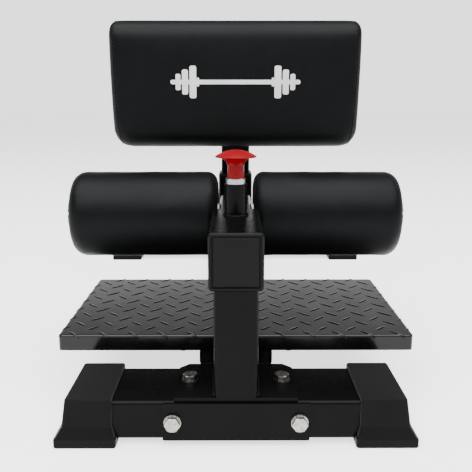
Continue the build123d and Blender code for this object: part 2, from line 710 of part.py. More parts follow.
parts["main_beam"] = main_beam()
for end, sign, half, low in (("front", -1, FRONT_HALF, BAR_BOTTOM),
                             ("rear", 1, REAR_HALF, REAR_BOTTOM)):
    parts[end + "_stabiliser"] = stabiliser(half, sign * STAB_Y, low)
    parts[end + "_clamp_plate"] = clamp_plate(sign, low)
    for hand, side in (("left", -1), ("right", 1)):
        parts[end + "_" + hand + "_boot"] = boot(half, sign * STAB_Y, side, low)
parts["front_stabiliser"] = drill(
    parts["front_stabiliser"], upright_bolt_places(BAR_TOP), M10_HOLE, 2 * BAR_WALL)
clamp_fasteners()
base_plate_fasteners()

parts["upright_base_plate"] = upright_base_plate()
parts["upright_tube"] = upright_tube()
parts["slider_sleeve"] = slider_sleeve()
parts["sleeve_end_cap"] = sleeve_end_cap()
parts["sleeve_front_bushing"] = sleeve_front_bushing()
parts["sleeve_rear_bushing"] = sleeve_rear_bushing()
add_pin("slider", facing(0, SLIDER_PIN_Y, SLEEVE_TOP, (0, 0, 1)),
        SLEEVE_WALL, SLEEVE_TOP - SLEEVE_WALL - SLIDER_TOP)

parts["slider_tube"] = slider_tube()
parts["slider_end_cap"] = slider_end_cap()
axle_pieces()
add_roller("left", -1)
add_roller("right", 1)

parts["post_receiver"] = post_receiver()
parts["receiver_base_plate"] = receiver_base_plate()
parts["receiver_bushing"] = receiver_bushing()
add_pin("post", facing(0, RECEIVER_REAR, POST_PIN_Z, (0, 1, 0)),
        RECEIVER_WALL, RECEIVER_REAR - RECEIVER_WALL - POST_REAR)
add_pad()

parts["foot_plate"] = foot_plate()
parts["foot_plate_rails"] = foot_plate_rails()
parts["rail_end_caps"] = rail_end_caps()
parts["foot_plate_risers"] = foot_plate_risers()
parts["foot_plate_studs"] = group(
    rod(M8 / 2, STUD_LOW, PLATE_TOP - PLATE_SHEET), stud_places(0))
parts["foot_plate_nuts"] = group(
    nut(M8, M8_HEX, M8_NUT), stud_places(RAIL_BOTTOM - M8_NUT))

os.makedirs("parts", exist_ok=True)
for name, shape in parts.items():
    export_step(shape, "parts/" + name + ".step")
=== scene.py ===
import json
import math

import bpy
from mathutils import Matrix, Vector, noise
from mathutils.bvhtree import BVHTree


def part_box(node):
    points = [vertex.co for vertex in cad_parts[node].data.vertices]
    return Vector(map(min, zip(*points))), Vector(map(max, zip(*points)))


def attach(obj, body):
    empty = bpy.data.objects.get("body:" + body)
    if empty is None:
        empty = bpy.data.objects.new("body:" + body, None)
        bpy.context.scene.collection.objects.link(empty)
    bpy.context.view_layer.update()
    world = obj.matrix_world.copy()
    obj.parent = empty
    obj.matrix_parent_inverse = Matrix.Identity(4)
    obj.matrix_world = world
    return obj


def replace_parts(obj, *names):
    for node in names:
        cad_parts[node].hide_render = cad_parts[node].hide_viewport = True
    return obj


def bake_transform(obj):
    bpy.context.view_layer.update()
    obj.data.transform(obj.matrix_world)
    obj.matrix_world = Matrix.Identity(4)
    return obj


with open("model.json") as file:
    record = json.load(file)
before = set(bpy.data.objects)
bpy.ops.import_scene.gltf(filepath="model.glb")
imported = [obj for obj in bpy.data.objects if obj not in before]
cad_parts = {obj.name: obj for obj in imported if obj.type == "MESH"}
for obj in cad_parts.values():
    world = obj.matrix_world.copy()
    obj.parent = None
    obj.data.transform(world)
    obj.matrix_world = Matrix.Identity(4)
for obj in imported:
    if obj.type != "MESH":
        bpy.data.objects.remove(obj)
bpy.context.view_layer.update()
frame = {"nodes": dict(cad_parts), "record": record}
nodes = frame["nodes"]
scene = bpy.context.scene
MM = 0.001


# ---- mesh helpers -------------------------------------------------------

def add_object(name, mesh, smooth=True):
    """Put a mesh in the scene under its own name."""
    for face in mesh.polygons:
        face.use_smooth = smooth
    piece = bpy.data.objects.new(name, mesh)
    scene.collection.objects.link(piece)
    return piece


def add_mesh(name, points, faces, smooth=True):
    mesh = bpy.data.meshes.new(name)
    mesh.from_pydata(points, [], faces)
    mesh.validate()
    mesh.update()
    return add_object(name, mesh, smooth)


def ring_faces(rings, count, first=0):
    """Quads between successive closed rings of count points each."""
    faces = []
    for row in range(rings - 1):
        a = first + row * count
        for i in range(count):
            j = (i + 1) % count
            faces.append((a + i, a + j, a + count + j, a + count + i))
    return faces


def end_faces(rings, count, first=0):
    """The two faces that close a tube of rings at its first and last ring."""
    last = first + (rings - 1) * count
    return [tuple(range(first, first + count))[::-1], tuple(range(last, last + count))]


def spokes(count):
    """Angles of count even steps round a circle."""
    return [2 * math.pi * k / count for k in range(count)]


def evaluated(piece):
    """The piece's mesh with its modifiers applied, as new data."""
    graph = bpy.context.evaluated_depsgraph_get()
    return bpy.data.meshes.new_from_object(piece.evaluated_get(graph))


def settle(piece):
    """Apply a piece's modifiers to its own mesh."""
    mesh = evaluated(piece)
    piece.modifiers.clear()
    piece.data = mesh
    for face in mesh.polygons:
        face.use_smooth = True
    return piece


def lathe(name, profile, origin, axis, steps=96, bend=None):
    """Turn a closed profile of (along, radius) points about a level X axis."""
    points = []
    for along, radius in profile:
        for angle in spokes(steps):
            reach = radius + (bend(along, radius, angle) if bend else 0)
            points.append((origin[0] + axis * along,
                           origin[1] + reach * math.cos(angle),
                           origin[2] + reach * math.sin(angle)))
    rings = len(profile)
    faces = []
    for row in range(rings):
        below, above = row * steps, (row + 1) % rings * steps
        for i in range(steps):
            j = (i + 1) % steps
            quad = (below + i, above + i, above + j, below + j)
            faces.append(quad if axis > 0 else quad[::-1])
    return add_mesh(name, points, faces)


def rounded_outline(corners, steps=8):
    """Closed outline from (x, z, radius) corners, with an arc at each."""
    outline = []
    count = len(corners)
    for i, (x, z, radius) in enumerate(corners):
        here = Vector((x, z))
        before = Vector(corners[i - 1][:2])
        after = Vector(corners[(i + 1) % count][:2])
        inward = (before - here).normalized()
        onward = (after - here).normalized()
        half = inward.angle(onward) / 2
        centre = here + (inward + onward).normalized() * radius / math.sin(half)
        start = here + inward * radius / math.tan(half) - centre
        end = here + onward * radius / math.tan(half) - centre
        turn = start.angle_signed(end)
        for k in range(steps + 1):
            spoke = start.copy()
            spoke.rotate(Matrix.Rotation(-turn * k / steps, 2))
            outline.append(centre + spoke)
    return outline


# ---- materials ----------------------------------------------------------

def shader(name, colour, rough, metal=0.0, specular=0.5, sheen=0.0):
    """New material; its uniform numbers sit on the shader's own sockets."""
    material = bpy.data.materials.new(name)
    material.use_nodes = True
    tree = material.node_tree
    surface = tree.nodes["Principled BSDF"]
    surface.inputs["Base Color"].default_value = (*colour, 1)
    surface.inputs["Roughness"].default_value = rough
    surface.inputs["Metallic"].default_value = metal
    surface.inputs["Specular IOR Level"].default_value = specular
    surface.inputs["Sheen Weight"].default_value = sheen
    return material, tree, surface


def texture(tree, kind, scale, detail=2.0, stretch=(1, 1, 1)):
    """Noise or Voronoi texture in the frame's metres."""
    place = tree.nodes.new("ShaderNodeTexCoord")
    mapping = tree.nodes.new("ShaderNodeMapping")
    mapping.inputs["Scale"].default_value = stretch
    node = tree.nodes.new(kind)
    node.inputs["Scale"].default_value = scale
    if "Detail" in node.inputs:
        node.inputs["Detail"].default_value = detail
    tree.links.new(place.outputs["Object"], mapping.inputs["Vector"])
    tree.links.new(mapping.outputs["Vector"], node.inputs["Vector"])
    return node


def vary(tree, source, low, high, target, start=0.3, stop=0.7):
    """Map a texture's value to a range, on a socket that changes over the surface."""
    remap = tree.nodes.new("ShaderNodeMapRange")
    for key, value in (("From Min", start), ("From Max", stop), ("To Min", low), ("To Max", high)):
        remap.inputs[key].default_value = value
    tree.links.new(source, remap.inputs["Value"])
    tree.links.new(remap.outputs["Result"], target)


def tint(tree, source, dark, light, target, start=0.3, stop=0.7):
    """Blend two colours by a texture's value."""
    ramp = tree.nodes.new("ShaderNodeValToRGB")
    ramp.color_ramp.elements[0].position = start
    ramp.color_ramp.elements[1].position = stop
    ramp.color_ramp.elements[0].color = (*dark, 1)
    ramp.color_ramp.elements[1].color = (*light, 1)
    tree.links.new(source, ramp.inputs["Fac"])
    tree.links.new(ramp.outputs["Color"], target)


def bump(tree, source, strength, depth, surface):
    """Add relief on top of whatever relief the surface has already."""
    node = tree.nodes.new("ShaderNodeBump")
    node.inputs["Strength"].default_value = strength
    node.inputs["Distance"].default_value = depth
    tree.links.new(source, node.inputs["Height"])
    if surface.inputs["Normal"].is_linked:
        tree.links.new(surface.inputs["Normal"].links[0].from_socket, node.inputs["Normal"])
    tree.links.new(node.outputs["Normal"], surface.inputs["Normal"])


def grey(value, warm=0.0):
    return (value * (1 + warm), value, value * (1 - warm))


def coated_metal(name, tone, rough, specular, grain, grain_strength):
    """Powder coat: orange peel, fine grain, slight changes of gloss and tone."""
    material, tree, surface = shader(name, grey(tone), rough, specular=specular)
    peel = texture(tree, "ShaderNodeTexNoise", 420, 3)
    fine = texture(tree, "ShaderNodeTexNoise", grain, 2)
    cloud = texture(tree, "ShaderNodeTexNoise", 14, 4)
    vary(tree, cloud.outputs["Fac"], rough - 0.05, rough + 0.06, surface.inputs["Roughness"])
    tint(tree, cloud.outputs["Fac"], grey(tone * 0.85, -0.03), grey(tone * 1.2, -0.03),
         surface.inputs["Base Color"])
    bump(tree, peel.outputs["Fac"], 0.05, 0.0005, surface)
    bump(tree, fine.outputs["Fac"], grain_strength, 0.0002, surface)
    return material


def vinyl(name):
    """Upholstery vinyl: pebbled cells, pores, soft changes of gloss, and painted shade in the valleys
    of its crease relief.
    """
    tone = 0.0016
    material, tree, surface = shader(name, grey(tone, -0.06), 0.40, specular=0.075)
    surface.inputs["Specular Tint"].default_value = (0.92, 0.96, 1, 1)
    pebbles = texture(tree, "ShaderNodeTexVoronoi", 900)
    pores = texture(tree, "ShaderNodeTexNoise", 2400, 3)
    crease_relief_and_shade = texture(tree, "ShaderNodeTexNoise", 60, 5)
    cloud = texture(tree, "ShaderNodeTexNoise", 9, 3)
    vary(tree, cloud.outputs["Fac"], 0.38, 0.47, surface.inputs["Roughness"])
    # Painted shade: the colour follows the crease relief and is darker where the relief is low, so the
    # valleys look shaded.
    tint(tree, crease_relief_and_shade.outputs["Fac"], grey(tone * 0.8, -0.04), grey(tone * 1.25, -0.06),
         surface.inputs["Base Color"])
    bump(tree, crease_relief_and_shade.outputs["Fac"], 0.10, 0.0012, surface)
    bump(tree, pebbles.outputs["Distance"], 0.30, 0.0004, surface)
    bump(tree, pores.outputs["Fac"], 0.12, 0.0002, surface)
    return material


def rubber(name):
    """Moulded rubber: dry, slightly dusty, finely sparked surface."""
    material, tree, surface = shader(name, grey(0.0022), 0.46, specular=0.038, sheen=0.05)
    spark = texture(tree, "ShaderNodeTexNoise", 1500, 4)
    flow = texture(tree, "ShaderNodeTexNoise", 22, 5)
    vary(tree, flow.outputs["Fac"], 0.42, 0.52, surface.inputs["Roughness"])
    tint(tree, flow.outputs["Fac"], grey(0.0018), grey(0.0030), surface.inputs["Base Color"])
    bump(tree, spark.outputs["Fac"], 0.25, 0.0003, surface)
    return material


def plastic(name, colour, rough, texture_strength, specular=0.5):
    """Moulded plastic with a fine etched texture."""
    material, tree, surface = shader(name, colour, rough, specular=specular)
    etch = texture(tree, "ShaderNodeTexNoise", 1800, 2)
    cloud = texture(tree, "ShaderNodeTexNoise", 30, 3)
    vary(tree, cloud.outputs["Fac"], rough - 0.04, rough + 0.05, surface.inputs["Roughness"])
    light = tuple(min(1, c * 1.12) for c in colour)
    dark = tuple(c * 0.9 for c in colour)
    tint(tree, cloud.outputs["Fac"], dark, light, surface.inputs["Base Color"])
    bump(tree, etch.outputs["Fac"], texture_strength, 0.0002, surface)
    return material


def plated(name, tone, rough, warm, blotch):
    """Zinc or turned steel: blotchy tone and gloss, fine drawn lines."""
    material, tree, surface = shader(name, grey(tone, warm), rough, metal=1.0)
    spangle = texture(tree, "ShaderNodeTexNoise", 240, 4)
    lines = texture(tree, "ShaderNodeTexNoise", 700, 2, stretch=(1, 1, 8))
    vary(tree, spangle.outputs["Fac"], rough - 0.08, rough + 0.12, surface.inputs["Roughness"])
    tint(tree, spangle.outputs["Fac"], grey(tone * (1 - blotch), warm), grey(min(1, tone * 1.1), warm),
         surface.inputs["Base Color"])
    bump(tree, lines.outputs["Fac"], 0.10, 0.0002, surface)
    return material


def plywood(name):
    """Plywood face: long stretched grain with darker latewood."""
    material, tree, surface = shader(name, (0.36, 0.24, 0.13), 0.7, specular=0.3)
    grain = texture(tree, "ShaderNodeTexNoise", 12, 6, stretch=(0.6, 1, 9))
    fibre = texture(tree, "ShaderNodeTexNoise", 120, 3, stretch=(0.3, 1, 6))
    tint(tree, grain.outputs["Fac"], (0.24, 0.14, 0.07), (0.46, 0.31, 0.18),
         surface.inputs["Base Color"])
    bump(tree, fibre.outputs["Fac"], 0.3, 0.0004, surface)
    return material


materials = {
    "frame_coat": coated_metal("frame_coat", 0.0018, 0.26, 0.052, 1600, 0.05),
    "plate_coat": coated_metal("plate_coat", 0.0012, 0.14, 0.24, 900, 0.03),
    "boot_rubber": rubber("boot_rubber"),
    "vinyl": vinyl("vinyl"),
    "black_plastic": plastic("black_plastic", grey(0.0024), 0.42, 0.20, 0.08),
    "cap_plastic": plastic("cap_plastic", grey(0.003), 0.24, 0.05, 0.3),
    "red_plastic": plastic("red_plastic", (0.14, 0.0004, 0.0024), 0.30, 0.03, 0.09),
    "zinc": plated("zinc", 0.36, 0.30, 0.07, 0.45),
    "dark_zinc": plated("dark_zinc", 0.20, 0.40, 0.06, 0.55),
    "pin_steel": plated("pin_steel", 0.34, 0.24, -0.01, 0.3),
    "spring_steel": plated("spring_steel", 0.40, 0.35, 0.0, 0.2),
    "nylon": plastic("nylon", (0.50, 0.49, 0.46), 0.45, 0.1, 0.3),
    "plywood": plywood("plywood"),
    "emblem": plastic("emblem", grey(0.46), 0.55, 0.15),
    "foam": plastic("foam", grey(0.003), 0.85, 0.5, 0.02),
    "thread": plastic("thread", grey(0.010), 0.7, 0.3),
}

for entry in frame["record"]["subparts"]:
    mesh = nodes[entry["node"]].data
    mesh.materials.clear()
    mesh.materials.append(materials[entry["material_slot"]])


def finish_piece(piece, material, body):
    """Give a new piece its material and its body."""
    piece.data.materials.clear()
    piece.data.materials.append(materials[material])
    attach(piece, body)
    return piece


# ---- tread pattern on the foot plate ------------------------------------

LUG_PITCH = 40.4 * MM
LUG_LENGTH = 29 * MM
LUG_WIDTH = 5.2 * MM
LUG_HEIGHT = 1.0 * MM
LUG_SINK = 0.12 * MM
LUG_FRONT_ROW = -379 * MM
LUG_COLUMNS, LUG_ROWS = range(-7, 8), range(-5, 6)
BEND = 3 * MM
DIAGONAL = math.sqrt(0.5)


def fold_over(distance, height):
    """Follow the sheet over its bend: (outward, drop) for a distance past it."""
    arc = BEND * math.pi / 2
    if distance <= 0:
        return distance, height
    if distance < arc:
        angle = distance / BEND
        return (BEND + height) * math.sin(angle), (BEND + height) * math.cos(angle) - BEND
    return BEND + height, -BEND - (distance - arc)


def tread_lugs():
    """Raised lenses in two crossed directions, carried over the plate's bends."""
    low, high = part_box("foot_plate")
    middle = (low + high) / 2
    flat = Vector((high.x - BEND - middle.x, high.y - BEND - middle.y))
    lip = high.z - low.z - BEND
    reach = lip + BEND * math.pi / 2 - 1 * MM
    along, across = 12, 6
    points, faces = [], []

    def place(x, y, height):
        """Point of the sheet at flat coordinates from the plate's middle."""
        out_x, z_x = fold_over(abs(x) - flat.x, height)
        out_y, z_y = fold_over(abs(y) - flat.y, height)
        return Vector((middle.x + math.copysign(flat.x + out_x, x),
                       middle.y + math.copysign(flat.y + out_y, y),
                       high.z + min(z_x, z_y)))

    def lug(cx, cy, lean):
        first = len(points)
        for i in range(along + 1):
            s = 2 * i / along - 1
            half = LUG_WIDTH / 2 * (1 - s * s)
            for j in range(across + 1):
                t = 2 * j / across - 1
                u, v = s * LUG_LENGTH / 2, t * half
                x = cx + (u - lean * v) * DIAGONAL
                y = cy + (lean * u + v) * DIAGONAL
                rise = LUG_HEIGHT * (1 - s ** 4) * (1 - t ** 2) - LUG_SINK
                points.append(place(x, y, rise))
        for i in range(along):
            for j in range(across):
                a = first + i * (across + 1) + j
                faces.append((a, a + across + 1, a + across + 2, a + 1))

    def fits(cx, cy):
        over_x, over_y = abs(cx) - flat.x, abs(cy) - flat.y
        half = LUG_LENGTH / 2 * DIAGONAL
        if over_x > -half and over_y > -half:
            return False
        return max(over_x, over_y) + half < reach

    for i in LUG_COLUMNS:
        for j in LUG_ROWS:
            x, y = i * LUG_PITCH, LUG_FRONT_ROW - middle.y + (j + 1) * LUG_PITCH
            for step, lean in ((0, 1), (LUG_PITCH / 2, -1)):
                if fits(x + step, y + step):
                    lug(x + step, y + step, lean)
    piece = add_mesh("tread_lugs", points, faces)
    return finish_piece(piece, "plate_coat", "base_frame")


tread_lugs()


# ---- weld beads ---------------------------------------------------------

BEAD_RIPPLE, BEAD_GRAIN = 0.16, 160
TUBE_HALF_WIDTH, POST_HALF_WIDTH = 50 * MM, 25 * MM
TUBE_CORNER = 4 * MM
BEAM_FLANGE = 5 * MM


def bead(name, route, radius, body, closed=False, lumps=0.1, ripple=3.2 * MM):
    """Rippled weld bead along a route of (point, lift) pairs of vectors."""
    count = 8
    stations = []
    total = len(route) if closed else len(route) - 1
    for i in range(total):
        (a, up_a), (b, up_b) = route[i], route[(i + 1) % len(route)]
        pieces = max(1, round((b - a).length / (ripple / 4)))
        for k in range(pieces):
            part = k / pieces
            stations.append((a.lerp(b, part), up_a.lerp(up_b, part).normalized()))
    if not closed:
        stations.append(route[-1])
    points = []
    for i, (point, up) in enumerate(stations):
        ahead = stations[(i + 1) % len(stations)][0] if closed or i + 1 < len(stations) else point
        behind = stations[i - 1][0] if closed or i else point
        run = (ahead - behind).normalized()
        side = run.cross(up).normalized()
        wave = 1 + BEAD_RIPPLE * math.cos(i * math.pi / 2) + lumps * noise.noise(point * BEAD_GRAIN)
        for angle in spokes(count):
            spoke = side * math.cos(angle) + up * math.sin(angle)
            points.append(point + spoke * radius * wave)
    faces = ring_faces(len(stations), count)
    if closed:
        last = (len(stations) - 1) * count
        faces += [(last + k, last + (k + 1) % count, (k + 1) % count, k) for k in range(count)]
    else:
        faces += end_faces(len(stations), count)
    piece = add_mesh(name, points, faces)
    return finish_piece(piece, "frame_coat", body)


def loop_round(low, high, z, lift, corner=TUBE_CORNER, steps=4):
    """Bead route round a rectangular tube that stands on a plate at z."""
    route = []
    centres = [(high.x, low.y), (high.x, high.y), (low.x, high.y), (low.x, low.y)]
    for turn, (x, y) in enumerate(centres):
        inward = Vector((math.copysign(corner, x - (low.x + high.x) / 2),
                         math.copysign(corner, y - (low.y + high.y) / 2), 0))
        for k in range(steps + 1):
            angle = -math.pi / 2 + turn * math.pi / 2 + k * math.pi / 2 / steps
            out = Vector((math.cos(angle), math.sin(angle), 0))
            point = Vector((x, y, z)) - inward + out * corner
            route.append((point, (out + Vector((0, 0, lift))).normalized()))
    return route


def circle_round(centre, normal, across, radius, steps=24):
    """Bead route round a boss that stands out along its normal."""
    other = normal.cross(across)
    route = []
    for angle in spokes(steps):
        out = across * math.cos(angle) + other * math.sin(angle)
        route.append((centre + out * radius, (out + normal).normalized()))
    return route


def straight(a, b, up):
    """Bead route along a straight edge."""
    return [(Vector(a), Vector(up).normalized()), (Vector(b), Vector(up).normalized())]


def weld_beads():
    """Every weld that shows, each placed from the boxes of the nodes it joins."""
    upright_low, upright_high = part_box("upright_tube")
    front = upright_low.y + 3 * MM
    foot = loop_round(upright_low, upright_high, upright_low.z, 1)
    back = [(point, up) for point, up in foot if point.y > upright_low.y + 10 * MM]
    for hand, side in (("left", -1), ("right", 1)):
        x = side * upright_high.x
        run = straight((x, front, upright_low.z), (x, upright_high.y - TUBE_CORNER, upright_low.z),
                       (side, 0, 1))
        bead(f"weld_upright_foot_{hand}", run, 3.0 * MM, "base_frame", lumps=0.3)
        run = straight((x, front + 5 * MM, upright_high.z), (x, upright_high.y, upright_high.z),
                       (side, 0, -1))
        bead(f"weld_upright_head_{hand}", run, 2.0 * MM, "base_frame")
    bead("weld_upright_foot_back", back, 2.8 * MM, "base_frame")
    tube_low, tube_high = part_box("post_receiver")
    bead("weld_receiver_foot", loop_round(tube_low, tube_high, tube_low.z, 1),
         2.8 * MM, "base_frame", closed=True)
    z_axis, y_axis, x_axis = Vector((0, 0, 1)), Vector((0, 1, 0)), Vector((1, 0, 0))
    low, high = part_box("slider_pin_housing")
    centre = Vector(((low.x + high.x) / 2, (low.y + high.y) / 2, low.z))
    bead("weld_slider_housing", circle_round(centre, z_axis, x_axis, (high.x - low.x) / 2),
         2.6 * MM, "base_frame", closed=True, lumps=0.35)
    low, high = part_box("post_pin_housing")
    centre = Vector(((low.x + high.x) / 2, low.y, (low.z + high.z) / 2))
    bead("weld_post_housing", circle_round(centre, y_axis, x_axis, (high.x - low.x) / 2),
         2.4 * MM, "base_frame", closed=True)
    beam_low, beam_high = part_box("main_beam")
    for end, y in (("front", beam_low.y + BEAM_FLANGE), ("rear", beam_high.y - BEAM_FLANGE)):
        back = 1 if end == "front" else -1
        for hand, side in (("left", -1), ("right", 1)):
            x = side * TUBE_HALF_WIDTH
            route = straight((x, y, beam_low.z + TUBE_CORNER), (x, y, beam_high.z - TUBE_CORNER),
                             (side, back, 0))
            bead(f"weld_beam_{end}_{hand}", route, 2.5 * MM, "base_frame")
    rail_low, rail_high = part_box("foot_plate_risers")
    for row, y in (("front", rail_low.y), ("rear", rail_high.y)):
        out = -1 if row == "front" else 1
        for level, z in (("low", rail_low.z), ("high", rail_high.z)):
            lift = 1 if level == "low" else -1
            route = straight((rail_low.x + TUBE_CORNER, y, z), (rail_high.x - TUBE_CORNER, y, z),
                             (0, out, lift))
            bead(f"weld_riser_{row}_{level}", route, 2.0 * MM, "base_frame")
    bracket_low, bracket_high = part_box("pad_bracket")
    for hand, side in (("left", -1), ("right", 1)):
        x = side * POST_HALF_WIDTH
        route = straight((x, bracket_high.y, bracket_low.z + 6 * MM),
                         (x, bracket_high.y, bracket_high.z - 12 * MM), (side, 1, 0))
        bead(f"weld_bracket_{hand}", route, 2.2 * MM, "calf_rest")


weld_beads()


# ---- pin springs --------------------------------------------------------

def pin_spring(name, node, along):
    """Coil of spring wire that fills the box of the pin's spring, along the given axis."""
    wire, turns, steps, count = 0.6 * MM, 4, 28, 8
    low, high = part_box(node)
    middle = (low + high) / 2
    half = along * (high - low).dot(along) / 2
    start, end = middle - half, middle + half
    across = Vector((1, 0, 0))
    other = along.cross(across)
    radius = (high.x - low.x) / 2 - wire
    length = 2 * half.length - 2 * wire
    stations = turns * steps
    points = []
    for i in range(stations + 1):
        angle = 2 * math.pi * i / steps
        out = across * math.cos(angle) + other * math.sin(angle)
        rise = along.cross(out) * 2 * math.pi * radius * turns + along * length
        side = rise.normalized().cross(out)
        centre = start + along * (wire + length * i / stations) + out * radius
        for turn in spokes(count):
            points.append(centre + (out * math.cos(turn) + side * math.sin(turn)) * wire)
    faces = ring_faces(stations + 1, count) + end_faces(stations + 1, count)
    piece = add_mesh(name, points, faces)
    piece.data.materials.append(materials["spring_steel"])
    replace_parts(piece, node)
    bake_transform(piece)


pin_spring("slider_lock_coil", "slider_pin_spring", Vector((0, 0, 1)))
pin_spring("post_lock_coil", "post_pin_spring", Vector((0, 1, 0)))


# ---- ankle rollers ------------------------------------------------------

ROLLER_LOW, ROLLER_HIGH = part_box("right_roller_foam")
ROLLER_START, ROLLER_END = ROLLER_LOW.x, ROLLER_HIGH.x
ROLLER_RADIUS = (ROLLER_HIGH.z - ROLLER_LOW.z) / 2
ROLLER_AXIS = Vector((0, (ROLLER_LOW.y + ROLLER_HIGH.y) / 2, (ROLLER_LOW.z + ROLLER_HIGH.z) / 2))
CORE_RADIUS = 16.2 * MM
WAVE_HEIGHT, PUCKER_HEIGHT = 0.5 * MM, 0.7 * MM
PUCKER_FROM_END, PUCKER_REACH = 14 * MM, 16 * MM
INNER_SHOULDER = 15 * MM
OUTER_SHOULDER, OUTER_DROP = 19 * MM, 15 * MM
SEAM_RADIUS = 47 * MM
BARE_END = 5.5 * MM
CAP_RADIUS, CAP_BULGE, CAP_SEAT = 33 * MM, 8 * MM, 1.5 * MM
CAP_RIBS, CAP_RIB_DEPTH = 18, 1.6 * MM


def roller_profile():
    """Closed section: inner shoulder, barrel, deeper outer shoulder, bore."""
    section = [(ROLLER_START + 5 * MM, CORE_RADIUS), (ROLLER_START + 2.5 * MM, 26 * MM),
               (ROLLER_START + 1 * MM, 38 * MM)]
    for k in range(13):
        angle = math.pi / 2 * k / 12
        section.append((ROLLER_START + INNER_SHOULDER * (1 - math.cos(angle)),
                        ROLLER_RADIUS - 1.25 * INNER_SHOULDER * (1 - math.sin(angle))))
    barrel = ROLLER_END - ROLLER_START - INNER_SHOULDER - OUTER_SHOULDER
    for k in range(1, 24):
        section.append((ROLLER_START + INNER_SHOULDER + barrel * k / 24, ROLLER_RADIUS))
    for k in range(15):
        angle = math.radians(80) * k / 14
        section.append((ROLLER_END - OUTER_SHOULDER * (1 - math.sin(angle)),
                        ROLLER_RADIUS - OUTER_DROP * (1 - math.cos(angle))))
    section += [(ROLLER_END + 1.4 * MM, 44 * MM), (ROLLER_END + 2.6 * MM, 38 * MM),
                (ROLLER_END + 2.2 * MM, 34.5 * MM), (ROLLER_END - 1 * MM, 32 * MM),
                (ROLLER_END - 4 * MM, CORE_RADIUS)]
    return section


def roller_surface(seed):
    """Small puckers near the shoulders and soft waves along the barrel."""
    def bend(along, radius, angle):
        if radius < 30 * MM:
            return 0
        spot = Vector((math.cos(angle) * 2.2, math.sin(angle) * 2.2, along * 30 + seed))
        wave = noise.noise(spot) * WAVE_HEIGHT
        edge = min(along - ROLLER_START, ROLLER_END - along)
        pucker = max(0, 1 - abs(edge - PUCKER_FROM_END) / PUCKER_REACH)
        around = Vector((math.cos(angle) * 9, math.sin(angle) * 9, seed))
        return wave + noise.noise(around) * PUCKER_HEIGHT * pucker - WAVE_HEIGHT
    return bend


def ring_seam(name, axis, along, body, thickness=0.9 * MM, steps=96, count=8):
    """Sewn ridge round the roller's end."""
    points = []
    for angle in spokes(steps):
        swell = thickness * (1 + 0.18 * math.cos(angle * 48))
        for turn in spokes(count):
            reach = SEAM_RADIUS + swell * math.cos(turn)
            points.append((axis * (along + swell * math.sin(turn)),
                           ROLLER_AXIS.y + reach * math.cos(angle),
                           ROLLER_AXIS.z + reach * math.sin(angle)))
    faces = []
    for i in range(steps):
        a, b = i * count, (i + 1) % steps * count
        for k in range(count):
            j = (k + 1) % count
            faces.append((a + k, b + k, b + j, a + j))
    return finish_piece(add_mesh(name, points, faces), "vinyl", body)


def cap_height(part, angle):
    """Height of the cap at a share of its radius: a dome with sunk panels between ribs."""
    height = CAP_BULGE * math.sqrt(max(0, 1 - part ** 4))
    if 0.42 < part < 0.9 and math.cos(angle * CAP_RIBS) < -0.1:
        height -= CAP_RIB_DEPTH
    return height - 0.3 * MM


def ribbed_cap(name, axis, body, node, steps=144, rings=18):
    """Domed end cap with radial ribs, closed by a skirt and a flat back."""
    seat = ROLLER_END + CAP_SEAT

    def ring(radius, height_at):
        return [(axis * (seat + height_at(angle)), ROLLER_AXIS.y + radius * math.cos(angle),
                 ROLLER_AXIS.z + radius * math.sin(angle)) for angle in spokes(steps)]

    points = []
    for row in range(rings + 1):
        part = row / rings
        points += ring(CAP_RADIUS * part, lambda angle: cap_height(part, angle))
    points += ring(CAP_RADIUS, lambda angle: -3 * MM)
    faces = []
    for row in range(rings + 1):
        for i in range(steps):
            j = (i + 1) % steps
            quad = (row * steps + i, (row + 1) * steps + i, (row + 1) * steps + j, row * steps + j)
            faces.append(quad if axis > 0 else quad[::-1])
    back = tuple(range((rings + 1) * steps, (rings + 2) * steps))
    faces.append(back[::-1] if axis > 0 else back)
    piece = finish_piece(add_mesh(name, points, faces), "cap_plastic", body)
    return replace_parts(piece, node)


def ankle_roller(hand, axis, seed):
    """One roller: padded cover with a bare foam inner end, two sewn rings, a ribbed cap."""
    body = f"{hand}_roller"
    cover = lathe(f"{hand}_roller_cover", roller_profile(), ROLLER_AXIS, axis,
                  bend=roller_surface(seed))
    finish_piece(cover, "vinyl", body)
    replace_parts(cover, f"{hand}_roller_foam")
    cover.data.materials.append(materials["foam"])
    for face in cover.data.polygons:
        if axis * face.center.x < ROLLER_START + BARE_END:
            face.material_index = 1
    ring_seam(f"{hand}_roller_outer_seam", axis, ROLLER_END - 4.6 * MM, body)
    ring_seam(f"{hand}_roller_inner_seam", axis, ROLLER_START + 1.9 * MM, body)
    ribbed_cap(f"{hand}_roller_end_cap", axis, body, f"{hand}_roller_cap")


ankle_roller("left", -1, 3.1)
ankle_roller("right", 1, 8.7)


# ---- calf pad -----------------------------------------------------------

PAD_LOW, PAD_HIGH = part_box("calf_pad")
PAD_HALF = PAD_HIGH.x
PAD_WIDEST = PAD_HIGH.z - 60 * MM
PAD_TAPER_TOP, PAD_TAPER_BOTTOM = 3 * MM, 8 * MM
PAD_SHRINK = 1 * MM            # room for the swell
PAD_SIDE_EASE = 1.5 * MM       # the remesh and smoothing take this off each side again
PAD_TOP_ROLL, PAD_BOTTOM_ROLL, PAD_SIDE_ROLL = 32 * MM, 24 * MM, 16 * MM
PAD_TOP_CORNER, PAD_BOTTOM_CORNER = 13 * MM, 26 * MM
PAD_PINNED = PAD_HIGH.y - 6 * MM
PAD_PRESSURE, PAD_SWELL, PAD_FRAMES = 4.0, 6 * MM, 20
SWELL_PASSES = 60
SEAM_INSET, SEAM_THICKNESS, STITCH_SHIFT = 8.5 * MM, 0.9 * MM, 2.4 * MM


